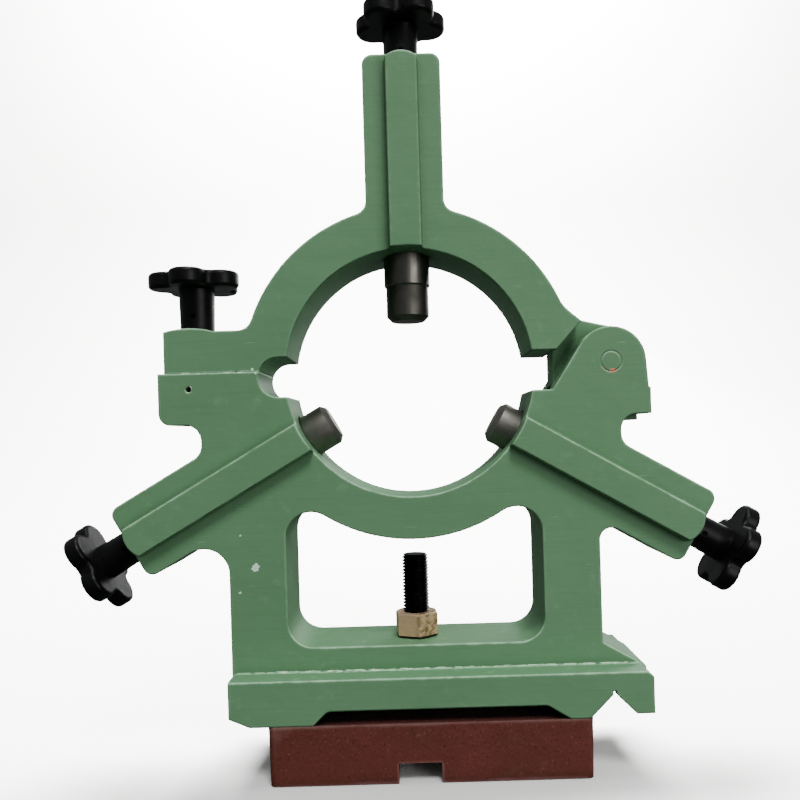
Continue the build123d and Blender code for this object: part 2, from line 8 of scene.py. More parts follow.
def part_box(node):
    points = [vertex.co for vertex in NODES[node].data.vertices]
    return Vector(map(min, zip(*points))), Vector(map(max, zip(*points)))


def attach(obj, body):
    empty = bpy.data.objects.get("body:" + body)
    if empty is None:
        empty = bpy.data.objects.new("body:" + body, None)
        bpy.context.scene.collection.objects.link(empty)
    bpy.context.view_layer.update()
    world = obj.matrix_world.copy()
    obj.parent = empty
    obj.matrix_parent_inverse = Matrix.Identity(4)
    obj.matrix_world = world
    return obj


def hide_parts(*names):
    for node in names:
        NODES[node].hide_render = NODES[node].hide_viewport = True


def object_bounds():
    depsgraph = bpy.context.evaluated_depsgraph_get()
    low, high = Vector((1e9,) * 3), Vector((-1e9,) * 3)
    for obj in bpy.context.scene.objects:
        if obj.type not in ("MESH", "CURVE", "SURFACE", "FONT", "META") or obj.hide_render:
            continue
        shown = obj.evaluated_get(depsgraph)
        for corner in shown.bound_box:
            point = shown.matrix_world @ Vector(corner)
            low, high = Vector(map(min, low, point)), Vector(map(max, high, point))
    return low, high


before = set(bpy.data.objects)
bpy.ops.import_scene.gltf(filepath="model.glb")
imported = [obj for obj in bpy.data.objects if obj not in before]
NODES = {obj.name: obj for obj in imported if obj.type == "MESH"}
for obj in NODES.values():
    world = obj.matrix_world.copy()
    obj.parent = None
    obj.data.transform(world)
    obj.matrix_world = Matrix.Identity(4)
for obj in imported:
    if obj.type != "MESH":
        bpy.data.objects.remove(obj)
solid_box = [list(corner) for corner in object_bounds()]

MM = 0.001


def box_of(node):
    """The low and the high corner of a solid's box, in mm."""
    return [[v / MM for v in corner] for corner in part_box(node)]


# Arms: direction in degrees, as seen from the front, and distance of the end from the work axis in mm
ARM_ANGLES = {"top": 90, "left": 210, "right": 330}
ARM_ENDS = {"top": 187.0, "left": 193.5, "right": 193.5}
# Steels: bright and dull colour. The tips' colours are painted light: lighter on the lower tips, darker on
# the upper one
STEEL_SHADES = ("#A8A49C", "#7E7A72")
QUILL_SHADES = ("#6F6D66", "#514F4A")
TIP_PAINTED_LIGHT_SHADES = {
    "top": ("#5E5C56", "#45433E"),
    "left": ("#7F7D75", "#605E58"),
    "right": ("#8A8880", "#6A6862"),
}

# Places on the castings in mm, the hinge pin's from its solid and the others as the solids have them
pin_low, pin_high = box_of("hinge_pin")
PIN_X = (pin_low[0] + pin_high[0]) / 2
PIN_Z = (pin_low[2] + pin_high[2]) / 2
PIN_RADIUS = (pin_high[0] - pin_low[0]) / 2
FRONT = pin_low[1]             # the castings' front, with which the pin is flush
JOINT = 3.0                    # the face on which the arch rests at the left
LEDGE = -174.3                 # where the base block's ledge meets the front
WINDOW_FLOOR = -160.0
FEET = -200.0
TONGUE_SIDE = 10.0             # half the width of the hinge's tongue between the ears
PIT_X = -130.0                 # the blind hole in the lower lug
PIT_Z = -6.5

# Edges in mm. A fettled edge is asked round and a machined one crisp, but the guard against overlap narrows
# both to about 0.1 mm in the mesh, and what the eye sees of the round is the paint's shading
ROUND_EDGE = 1.8
CRISP_EDGE = 0.35
EDGE_SEGMENTS = 3
SHARP_ANGLE = radians(28)
WELD_GAP = 0.002

# Sockets of a Mix node that mixes colours. The inputs of a Math node share one name, and go by number
SHARE = 0
UNDER = 6
OVER = 7
MIXED = 2


def linear(colour):
    """The linear values of an sRGB hex colour."""
    shares = [int(colour[i:i + 2], 16) / 255 for i in (1, 3, 5)]
    return [s / 12.92 if s <= 0.04045 else ((s + 0.055) / 1.055) ** 2.4 for s in shares] + [1.0]


def per(size_mm):
    """The scale that gives a pattern features of a size, in shader space, which is in metres."""
    return 1 / (size_mm * MM)


def add(tree, kind, inputs=None, **settings):
    """Adds a node with its settings, and sets or links its inputs."""
    node = tree.nodes.new(kind)
    for name, value in settings.items():
        setattr(node, name, value)
    for name, value in (inputs or {}).items():
        if isinstance(value, bpy.types.NodeSocket):
            tree.links.new(value, node.inputs[name])
        else:
            node.inputs[name].default_value = value
    return node


def new_material(name):
    """An empty material with its shader, and the place on the part as a vector."""
    material = bpy.data.materials.new(name)
    material.use_nodes = True
    tree = material.node_tree
    tree.nodes.clear()
    shader = add(tree, "ShaderNodeBsdfPrincipled")
    add(tree, "ShaderNodeOutputMaterial", {"Surface": shader.outputs["BSDF"]})
    place = add(tree, "ShaderNodeTexCoord").outputs["Object"]
    return material, tree, shader, place


# Rows where the paint is thin or filler shows: middle and half size in mm, the level of noise above
# which a dash shows, and its colour
FILLER_ROWS = (
    ((12, FRONT - 0.6, LEDGE + 0.3), (119, 1.0, 0.45), 0.38, "#96C79B"),
    ((22, FRONT - 0.5, LEDGE + 0.6), (108, 0.7, 0.4), 0.5, "#CDEBD0"),
    ((-40, FRONT - 0.8, LEDGE + 0.3), (40, 1.2, 0.6), 0.54, "#DDF2DD"),
    ((-115, FRONT, JOINT), (33, 1.2, 0.8), 0.34, "#8FBF95"),
    ((-112, FRONT, JOINT), (22, 1.2, 0.6), 0.54, "#D3EED5"),
)
# Single chips down to the filler: middle and radius in mm
FILLER_CHIPS = (
    ((-93.6, FRONT, -112.2), 3.0),
    ((-102, FRONT, -93), 0.9),
    ((-103, FRONT, -126.5), 0.9),
    ((-52.5, FRONT - 7, -18.5), 1.5),
    ((79.5, FRONT - 7, -22.0), 1.6),
    ((63.6, FRONT - 7, -13.2), 1.8),
    ((108.5, FRONT - 4, -88.5), 1.2),
    ((72.0, FRONT, -128.0), 0.8),
    ((PIT_X, FRONT, PIT_Z), 2.35),
    ((-92.3, FRONT, 4.2), 0.9),
    ((-90.4, FRONT, 2.2), 0.7),
)
# The noise that makes a chip ragged stays near 0.5, so the rim lies a little inside the radius
RAGGED_GAIN = 1.7
# How far the noise rises over its level until a dash shows in full
DASH_EDGE = 0.05
# Round the hinge pin, in mm
LINE_HALF = 0.5                # half the width of the line of dirt
CRACK_RADIUS = PIN_RADIUS - 0.4
CRACK_HALF = 1.2               # half the width of the band where the paint cracks off
CRACK_NONE = -2.5              # heights from the axis between which the cracks set in
CRACK_FULL = -4.5
# Faces that were machined after casting and never painted: their heights in mm, and how far they may be off
BARE_HEIGHTS = (JOINT, FEET)
BARE_GAP = 0.06


def painted_tone(tree, patches, streaks):
    """Green in thicker and thinner patches, darker along the bristle streaks."""
    tone = add(tree, "ShaderNodeMix", {
        SHARE: patches, UNDER: linear("#57805B"), OVER: linear("#638C67")}, data_type="RGBA").outputs[MIXED]
    streak = add(tree, "ShaderNodeMapRange", {
        "Value": streaks, "From Min": 0.5, "From Max": 0.78, "To Min": 0.0, "To Max": 0.16}).outputs["Result"]
    return add(tree, "ShaderNodeMix", {
        SHARE: streak, UNDER: tone, OVER: linear("#3C6342")}, data_type="RGBA").outputs[MIXED]


def dust_and_painted_light(tree, upward, colour):
    """Faces that look up are paler, from dust and a painted top light, and the corners and undersides are
    darker, as painted shade.
    """
    # Paler green on faces that look up: dust and a painted top light
    dust_and_top_light = add(tree, "ShaderNodeMapRange", {
        "Value": upward, "From Min": 0.35, "From Max": 0.95, "To Min": 0.0, "To Max": 0.4}).outputs["Result"]
    dusted_and_lit = add(tree, "ShaderNodeMix", {
        SHARE: dust_and_top_light, UNDER: colour, OVER: linear("#7DB684")}, data_type="RGBA").outputs[MIXED]
    # Painted shade: the corners and recesses are darkened, except where they face up
    corners = add(tree, "ShaderNodeAmbientOcclusion", {"Distance": 10 * MM}, samples=6).outputs["AO"]
    recess_shade = add(tree, "ShaderNodeMapRange", {
        "Value": corners, "From Min": 0.25, "From Max": 0.8, "To Min": 0.6, "To Max": 0.0}).outputs["Result"]
    not_up = add(tree, "ShaderNodeMapRange", {
        "Value": upward, "From Min": 0.2, "From Max": 0.7, "To Min": 1.0, "To Max": 0.1}).outputs["Result"]
    corner_shade = add(tree, "ShaderNodeMath", {0: recess_shade, 1: not_up}, operation="MULTIPLY").outputs["Value"]
    # Painted shade on the undersides. The darker of the two shades is mixed in
    underside_shade = add(tree, "ShaderNodeMapRange", {
        "Value": upward, "From Min": -0.95, "From Max": -0.15,
        "To Min": 0.16, "To Max": 0.0}).outputs["Result"]
    dark = add(tree, "ShaderNodeMath", {0: corner_shade, 1: underside_shade}, operation="MAXIMUM").outputs["Value"]
    return add(tree, "ShaderNodeMix", {
        SHARE: dark, UNDER: dusted_and_lit, OVER: linear("#1C3520")}, data_type="RGBA").outputs[MIXED]


def worn_and_painted_edges(tree, upward, edges, uneven, colour):
    """Edges that face up are pale, unevenly, from wear and a painted highlight, and those that face down
    carry a dark line of painted shade.
    """
    edge_sum = add(tree, "ShaderNodeMath", {0: edges, 1: uneven}, operation="ADD").outputs["Value"]
    on_edge = add(tree, "ShaderNodeMapRange", {
        "Value": edge_sum, "From Min": 1.0, "From Max": 1.44, "To Min": 1.0, "To Max": 0.0},
        interpolation_type="SMOOTHSTEP").outputs["Result"]
    upper = add(tree, "ShaderNodeMapRange", {
        "Value": upward, "From Min": -0.05, "From Max": 0.4, "To Min": 0.1, "To Max": 1.0}).outputs["Result"]
    wear_and_highlight = add(tree, "ShaderNodeMath", {0: on_edge, 1: upper}, operation="MULTIPLY").outputs["Value"]
    # Painted highlight with wear: the upper edges turned pale
    worn_and_highlit = add(tree, "ShaderNodeMix", {
        SHARE: wear_and_highlight, UNDER: colour, OVER: linear("#AEDBB3")}, data_type="RGBA").outputs[MIXED]
    # Painted shade: a dark line along the edges that face down
    lower = add(tree, "ShaderNodeMapRange", {
        "Value": upward, "From Min": -0.45, "From Max": -0.08,
        "To Min": 0.95, "To Max": 0.0}).outputs["Result"]
    underside_edge_shade = add(tree, "ShaderNodeMath", {0: on_edge, 1: lower}, operation="MULTIPLY").outputs["Value"]
    return add(tree, "ShaderNodeMix", {
        SHARE: underside_edge_shade, UNDER: worn_and_highlit, OVER: linear("#13251A")}, data_type="RGBA").outputs[MIXED]


def pin_line(tree, pin_distance, colour):
    """A thin dark line of dirt round the hinge pin, which lies flush in its ear."""
    line = add(tree, "ShaderNodeMath", {
        0: pin_distance, 1: PIN_RADIUS * MM, 2: LINE_HALF * MM}, operation="COMPARE").outputs["Value"]
    faint = add(tree, "ShaderNodeMath", {0: line, 1: 0.3}, operation="MULTIPLY").outputs["Value"]
    return add(tree, "ShaderNodeMix", {
        SHARE: faint, UNDER: colour, OVER: linear("#24412A")}, data_type="RGBA").outputs[MIXED]


def scratches(tree, place, colour):
    """Light scratches, 0.35 mm wide and up to 18 mm long, few and far between."""
    drawn = add(tree, "ShaderNodeMapping", {
        "Vector": place, "Rotation": (0.0, -0.12, 0.0),
        "Scale": (per(18), per(0.7), per(0.7))}).outputs["Vector"]
    lines = add(tree, "ShaderNodeTexNoise", {"Vector": drawn, "Scale": 1.0, "Detail": 1.0}).outputs["Fac"]
    scratch = add(tree, "ShaderNodeMapRange", {
        "Value": lines, "From Min": 0.79, "From Max": 0.84, "To Min": 0.0, "To Max": 0.55}).outputs["Result"]
    return add(tree, "ShaderNodeMix", {
        SHARE: scratch, UNDER: colour, OVER: linear("#9CC9A0")}, data_type="RGBA").outputs[MIXED]


def flecks(tree, place, edges, colour):
    """Flecks of pale filler, 0.5 to 1.5 mm across, mostly along the edges."""
    specks = add(tree, "ShaderNodeTexNoise", {
        "Vector": place, "Scale": per(1.8), "Detail": 3.0, "Roughness": 0.7}).outputs["Fac"]
    near_edge = add(tree, "ShaderNodeMapRange", {
        "Value": edges, "From Min": 0.25, "From Max": 0.8, "To Min": 0.14, "To Max": 0.0}).outputs["Result"]
    speck_sum = add(tree, "ShaderNodeMath", {0: specks, 1: near_edge}, operation="ADD").outputs["Value"]
    fleck = add(tree, "ShaderNodeMapRange", {
        "Value": speck_sum, "From Min": 0.785, "From Max": 0.80}).outputs["Result"]
    return add(tree, "ShaderNodeMix", {
        SHARE: fleck, UNDER: colour, OVER: linear("#BFE3C4")}, data_type="RGBA").outputs[MIXED]


def filler_rows(tree, place, colour):
    """Broken rows of thin paint and filler along the ledge and the joint, in dashes of about 4 mm."""
    dashed = add(tree, "ShaderNodeMapping", {
        "Vector": place, "Scale": (per(4.5), per(1.2), per(1.2))}).outputs["Vector"]
    dashes = add(tree, "ShaderNodeTexNoise", {
        "Vector": dashed, "Scale": 1.0, "Detail": 3.0, "Roughness": 0.6}).outputs["Fac"]
    for middle, half_size, level, shade in FILLER_ROWS:
        away = add(tree, "ShaderNodeVectorMath", {
            0: place, 1: [v * MM for v in middle]}, operation="SUBTRACT").outputs["Vector"]
        spread = add(tree, "ShaderNodeVectorMath", {0: away}, operation="ABSOLUTE").outputs["Vector"]
        shares = add(tree, "ShaderNodeVectorMath", {
            0: spread, 1: [v * MM for v in half_size]}, operation="DIVIDE").outputs["Vector"]
        split = add(tree, "ShaderNodeSeparateXYZ", {"Vector": shares})
        widest = add(tree, "ShaderNodeMath", {
            0: split.outputs["X"], 1: split.outputs["Y"]}, operation="MAXIMUM").outputs["Value"]
        outside = add(tree, "ShaderNodeMath", {
            0: widest, 1: split.outputs["Z"]}, operation="MAXIMUM").outputs["Value"]
        inside = add(tree, "ShaderNodeMath", {0: outside, 1: 1.0}, operation="LESS_THAN").outputs["Value"]
        broken = add(tree, "ShaderNodeMapRange", {
            "Value": dashes, "From Min": level, "From Max": level + DASH_EDGE}).outputs["Result"]
        dash = add(tree, "ShaderNodeMath", {0: inside, 1: broken}, operation="MULTIPLY").outputs["Value"]
        colour = add(tree, "ShaderNodeMix", {
            SHARE: dash, UNDER: colour, OVER: linear(shade)}, data_type="RGBA").outputs[MIXED]
    return colour


def filler_chips(tree, place, ragged, colour):
    """Single chips down to the pale filler, with ragged rims."""
    for middle, radius in FILLER_CHIPS:
        away = add(tree, "ShaderNodeVectorMath", {
            0: place, 1: [v * MM for v in middle]}, operation="DISTANCE").outputs["Value"]
        rim = add(tree, "ShaderNodeMath", {
            0: ragged, 1: radius * MM * RAGGED_GAIN}, operation="MULTIPLY").outputs["Value"]
        inside = add(tree, "ShaderNodeMath", {0: away, 1: rim}, operation="LESS_THAN").outputs["Value"]
        colour = add(tree, "ShaderNodeMix", {
            SHARE: inside, UNDER: colour, OVER: linear("#D3F0D6")}, data_type="RGBA").outputs[MIXED]
    return colour


def cracked_rim(tree, flat, pin_distance, ragged, colour):
    """Round the hinge pin the paint has cracked off to its red primer, along the lower rim."""
    on_rim = add(tree, "ShaderNodeMath", {
        0: pin_distance, 1: CRACK_RADIUS * MM, 2: CRACK_HALF * MM}, operation="COMPARE").outputs["Value"]
    height = add(tree, "ShaderNodeSeparateXYZ", {"Vector": flat}).outputs["Z"]
    low = add(tree, "ShaderNodeMapRange", {
        "Value": height, "From Min": CRACK_NONE * MM, "From Max": CRACK_FULL * MM,
        "To Min": 0.0, "To Max": 0.24}).outputs["Result"]
    rim_sum = add(tree, "ShaderNodeMath", {0: ragged, 1: low}, operation="ADD").outputs["Value"]
    cracked = add(tree, "ShaderNodeMath", {0: rim_sum, 1: 0.77}, operation="GREATER_THAN").outputs["Value"]
    bared = add(tree, "ShaderNodeMath", {0: on_rim, 1: cracked}, operation="MULTIPLY").outputs["Value"]
    return add(tree, "ShaderNodeMix", {
        SHARE: bared, UNDER: colour, OVER: linear("#C98468")}, data_type="RGBA").outputs[MIXED]


def bare_faces(tree, place):
    """Where a level face was machined after casting, and is bare iron."""
    height = add(tree, "ShaderNodeSeparateXYZ", {"Vector": place}).outputs["Z"]
    facing = add(tree, "ShaderNodeTexCoord").outputs["Normal"]
    upward = add(tree, "ShaderNodeSeparateXYZ", {"Vector": facing}).outputs["Z"]
    slope = add(tree, "ShaderNodeMath", {0: upward}, operation="ABSOLUTE").outputs["Value"]
    is_level = add(tree, "ShaderNodeMath", {0: slope, 1: 0.97}, operation="GREATER_THAN").outputs["Value"]
    machined = 0.0
    for face in BARE_HEIGHTS:
        on_face = add(tree, "ShaderNodeMath", {
            0: height, 1: face * MM, 2: BARE_GAP * MM}, operation="COMPARE").outputs["Value"]
        machined = add(tree, "ShaderNodeMath", {
            0: machined, 1: on_face}, operation="MAXIMUM").outputs["Value"]
    return add(tree, "ShaderNodeMath", {0: is_level, 1: machined}, operation="MULTIPLY").outputs["Value"]


def paint_relief(tree, place, rounded, streaks):
    """The casting's lumps of 14 mm, the paint's orange peel of 1.6 mm, and the bristle streaks."""
    lumps = add(tree, "ShaderNodeTexNoise", {
        "Vector": place, "Scale": per(14), "Detail": 2.0}).outputs["Fac"]
    lumpy = add(tree, "ShaderNodeBump", {
        "Height": lumps, "Strength": 0.5, "Distance": 0.8 * MM, "Normal": rounded}).outputs["Normal"]
    peel = add(tree, "ShaderNodeTexNoise", {
        "Vector": place, "Scale": per(1.6), "Detail": 2.0}).outputs["Fac"]
    peeled = add(tree, "ShaderNodeBump", {
        "Height": peel, "Strength": 0.35, "Distance": 0.08 * MM, "Normal": lumpy}).outputs["Normal"]
    return add(tree, "ShaderNodeBump", {
        "Height": streaks, "Strength": 0.6, "Distance": 0.1 * MM, "Normal": peeled}).outputs["Normal"]


def brushed_enamel():
    """Enamel, brushed by hand on a sand casting: satin, with bristle streaks and chips, dust and a painted
    top light, painted highlights and shade on its edges, and painted shade in its corners and underneath.
    """
    material, tree, shader, place = new_material("brushed_enamel")
    shader.inputs["IOR"].default_value = 1.5
    shader.inputs["Specular IOR Level"].default_value = 0.22

    # Thick paint over filed edges catches the light as if they were round
    rounded = add(tree, "ShaderNodeBevel", {"Radius": ROUND_EDGE * MM}, samples=8).outputs["Normal"]
    turned = add(tree, "ShaderNodeVectorTransform", {
        "Vector": rounded}, vector_type="NORMAL", convert_from="WORLD", convert_to="OBJECT").outputs["Vector"]
    upward = add(tree, "ShaderNodeSeparateXYZ", {"Vector": turned}).outputs["Z"]
    # Low within 1.9 mm of an edge, felt from inside the metal
    edges = add(tree, "ShaderNodeAmbientOcclusion", {
        "Distance": 1.9 * MM}, samples=8, inside=True).outputs["AO"]

    # Patches of thicker and thinner paint, about 60 mm across
    patches = add(tree, "ShaderNodeTexNoise", {
        "Vector": place, "Scale": per(60), "Detail": 3.0, "Roughness": 0.5}).outputs["Fac"]
    # Bristle streaks, 1.1 mm apart and 34 mm long, drawn along the bed's length
    stretched = add(tree, "ShaderNodeMapping", {
        "Vector": place, "Rotation": (0.0, 0.06, 0.0),
        "Scale": (per(34), per(1.1), per(1.1))}).outputs["Vector"]
    streaks = add(tree, "ShaderNodeTexNoise", {
        "Vector": stretched, "Scale": 1.0, "Detail": 3.0, "Roughness": 0.6}).outputs["Fac"]
    # Uneven wear, in spots of 9 mm, and ragged breaks of 2.6 mm
    uneven = add(tree, "ShaderNodeTexNoise", {
        "Vector": place, "Scale": per(9), "Detail": 4.0, "Roughness": 0.65}).outputs["Fac"]
    ragged = add(tree, "ShaderNodeTexNoise", {
        "Vector": place, "Scale": per(2.6), "Detail": 3.0}).outputs["Fac"]

    # The way from the hinge pin's axis, and how far that is
    from_pin = add(tree, "ShaderNodeVectorMath", {
        0: place, 1: (PIN_X * MM, 0, PIN_Z * MM)}, operation="SUBTRACT").outputs["Vector"]
    flat = add(tree, "ShaderNodeVectorMath", {
        0: from_pin, 1: (1, 0, 1)}, operation="MULTIPLY").outputs["Vector"]
    pin_distance = add(tree, "ShaderNodeVectorMath", {0: flat}, operation="LENGTH").outputs["Value"]

    colour = painted_tone(tree, patches, streaks)
    # Dust and a painted top light on faces that look up, and painted shade in the corners and underneath
    colour = dust_and_painted_light(tree, upward, colour)
    # Pale upper edges from wear and a painted highlight, and a dark line of painted shade on the lower edges
    colour = worn_and_painted_edges(tree, upward, edges, uneven, colour)
    colour = pin_line(tree, pin_distance, colour)
    colour = scratches(tree, place, colour)
    colour = flecks(tree, place, edges, colour)
    colour = filler_rows(tree, place, colour)
    colour = filler_chips(tree, place, ragged, colour)
    colour = cracked_rim(tree, flat, pin_distance, ragged, colour)

    # Machined faces are grey iron with a little oil
    iron = add(tree, "ShaderNodeMix", {
        SHARE: uneven, UNDER: linear("#8E8B84"), OVER: linear("#6B6760")}, data_type="RGBA").outputs[MIXED]
    bare = bare_faces(tree, place)
    finished = add(tree, "ShaderNodeMix", {
        SHARE: bare, UNDER: colour, OVER: iron}, data_type="RGBA").outputs[MIXED]
    rough = add(tree, "ShaderNodeMapRange", {
        "Value": patches, "From Min": 0.3, "From Max": 0.7, "To Min": 0.5, "To Max": 0.62}).outputs["Result"]
    tree.links.new(finished, shader.inputs["Base Color"])
    tree.links.new(bare, shader.inputs["Metallic"])
    tree.links.new(rough, shader.inputs["Roughness"])
    tree.links.new(paint_relief(tree, place, rounded, streaks), shader.inputs["Normal"])
    return material


def speckled_primer():
    """Red-brown primer on a rough casting: matt and speckled, with nothing over it."""
    material, tree, shader, place = new_material("red_brown_primer")
    shader.inputs["IOR"].default_value = 1.5
    shader.inputs["Specular IOR Level"].default_value = 0.25
    shader.inputs["Roughness"].default_value = 0.7
    patches = add(tree, "ShaderNodeTexNoise", {
        "Vector": place, "Scale": per(26), "Detail": 4.0}).outputs["Fac"]
    tone = add(tree, "ShaderNodeMix", {
        SHARE: patches, UNDER: linear("#4E231D"), OVER: linear("#663229")}, data_type="RGBA").outputs[MIXED]
    # Grit of 1.6 mm, paler and darker than the primer
    grit = add(tree, "ShaderNodeTexNoise", {
        "Vector": place, "Scale": per(1.6), "Detail": 4.0, "Roughness": 0.75}).outputs["Fac"]
    pale = add(tree, "ShaderNodeMapRange", {
        "Value": grit, "From Min": 0.6, "From Max": 0.74}).outputs["Result"]
    spotted = add(tree, "ShaderNodeMix", {
        SHARE: pale, UNDER: tone, OVER: linear("#8A5A4E")}, data_type="RGBA").outputs[MIXED]
    dark = add(tree, "ShaderNodeMapRange", {
        "Value": grit, "From Min": 0.44, "From Max": 0.3}).outputs["Result"]
    speckled = add(tree, "ShaderNodeMix", {
        SHARE: dark, UNDER: spotted, OVER: linear("#280E0A")}, data_type="RGBA").outputs[MIXED]
    # Edges rubbed paler, and painted shade where the gap under the base shuts out the light
    edges = add(tree, "ShaderNodeAmbientOcclusion", {
        "Distance": 2.2 * MM}, samples=6, inside=True).outputs["AO"]
    edge_sum = add(tree, "ShaderNodeMath", {0: edges, 1: patches}, operation="ADD").outputs["Value"]
    on_edge = add(tree, "ShaderNodeMapRange", {
        "Value": edge_sum, "From Min": 1.0, "From Max": 1.42, "To Min": 0.6, "To Max": 0.0}).outputs["Result"]
    rubbed = add(tree, "ShaderNodeMix", {
        SHARE: on_edge, UNDER: speckled, OVER: linear("#94706B")}, data_type="RGBA").outputs[MIXED]
    # Painted shade: the recesses are darkened towards black
    corners = add(tree, "ShaderNodeAmbientOcclusion", {"Distance": 18 * MM}, samples=6).outputs["AO"]
    recess_shade = add(tree, "ShaderNodeMapRange", {
        "Value": corners, "From Min": 0.2, "From Max": 0.6, "To Min": 0.95, "To Max": 0.0}).outputs["Result"]
    shaded = add(tree, "ShaderNodeMix", {
        SHARE: recess_shade, UNDER: rubbed, OVER: linear("#0A0403")}, data_type="RGBA").outputs[MIXED]
    tree.links.new(shaded, shader.inputs["Base Color"])
    # Relief: the casting's lumps of 8 mm, and the grit
    lumps = add(tree, "ShaderNodeTexNoise", {
        "Vector": place, "Scale": per(8), "Detail": 5.0, "Roughness": 0.6}).outputs["Fac"]
    lumpy = add(tree, "ShaderNodeBump", {
        "Height": lumps, "Strength": 0.6, "Distance": 1.2 * MM}).outputs["Normal"]
    gritty = add(tree, "ShaderNodeBump", {
        "Height": grit, "Strength": 0.6, "Distance": 0.25 * MM, "Normal": lumpy}).outputs["Normal"]
    tree.links.new(gritty, shader.inputs["Normal"])
    return material


def moulded_phenolic():
    """Phenolic plastic, moulded: black with a soft gloss, dulled by handling, with grey scuffs."""
    material, tree, shader, place = new_material("moulded_phenolic")
    shader.inputs["IOR"].default_value = 1.6
    shader.inputs["Specular IOR Level"].default_value = 0.12
    handling = add(tree, "ShaderNodeTexNoise", {
        "Vector": place, "Scale": per(12), "Detail": 5.0, "Roughness": 0.65}).outputs["Fac"]
    tone = add(tree, "ShaderNodeMix", {
        SHARE: handling, UNDER: linear("#020202"), OVER: linear("#080807")}, data_type="RGBA").outputs[MIXED]
    # Fine scuffs, 0.6 mm wide and 9 mm long
    stretched = add(tree, "ShaderNodeMapping", {
        "Vector": place, "Rotation": (0.5, 0.7, 0.2),
        "Scale": (per(9), per(0.6), per(0.6))}).outputs["Vector"]
    lines = add(tree, "ShaderNodeTexNoise", {"Vector": stretched, "Scale": 1.0, "Detail": 1.0}).outputs["Fac"]
    scuff = add(tree, "ShaderNodeMapRange", {
        "Value": lines, "From Min": 0.68, "From Max": 0.78, "To Min": 0.0, "To Max": 0.45}).outputs["Result"]
    scuffed = add(tree, "ShaderNodeMix", {
        SHARE: scuff, UNDER: tone, OVER: linear("#33322F")}, data_type="RGBA").outputs[MIXED]
    tree.links.new(scuffed, shader.inputs["Base Color"])
    rough = add(tree, "ShaderNodeMapRange", {
        "Value": handling, "From Min": 0.3, "From Max": 0.7, "To Min": 0.3, "To Max": 0.48}).outputs["Result"]
    tree.links.new(rough, shader.inputs["Roughness"])
    # The skin of the moulding sinks a little, in waves of 4 mm
    skin = add(tree, "ShaderNodeTexNoise", {
        "Vector": place, "Scale": per(4), "Detail": 3.0}).outputs["Fac"]
    wavy = add(tree, "ShaderNodeBump", {
        "Height": skin, "Strength": 0.4, "Distance": 0.25 * MM}).outputs["Normal"]
    tree.links.new(wavy, shader.inputs["Normal"])
    return material


def turned_steel(name, axis, bright, dull, ring_mm, roughness):
    """Steel, turned or ground: fine rings round its own axis, and dull patches of old oil."""
    material, tree, shader, place = new_material(name)
    shader.inputs["Metallic"].default_value = 1.0
    oil = add(tree, "ShaderNodeTexNoise", {
        "Vector": place, "Scale": per(14), "Detail": 3.0, "Roughness": 0.5}).outputs["Fac"]
    oily = add(tree, "ShaderNodeMapRange", {
        "Value": oil, "From Min": 0.3, "From Max": 0.7}).outputs["Result"]
    tone = add(tree, "ShaderNodeMix", {
        SHARE: oily, UNDER: linear(bright), OVER: linear(dull)}, data_type="RGBA").outputs[MIXED]
    tree.links.new(tone, shader.inputs["Base Color"])
    rough = add(tree, "ShaderNodeMapRange", {
        "Value": oil, "From Min": 0.3, "From Max": 0.7,
        "To Min": roughness - 0.05, "To Max": roughness + 0.08}).outputs["Result"]
    tree.links.new(rough, shader.inputs["Roughness"])
    along = add(tree, "ShaderNodeVectorMath", {0: place, 1: axis}, operation="DOT_PRODUCT").outputs["Value"]
    rings = add(tree, "ShaderNodeTexNoise", {
        "W": along, "Scale": per(ring_mm), "Detail": 2.0}, noise_dimensions="1D").outputs["Fac"]
    ringed = add(tree, "ShaderNodeBump", {
        "Height": rings, "Strength": 0.35, "Distance": 0.04 * MM}).outputs["Normal"]
    tree.links.new(ringed, shader.inputs["Normal"])
    return material


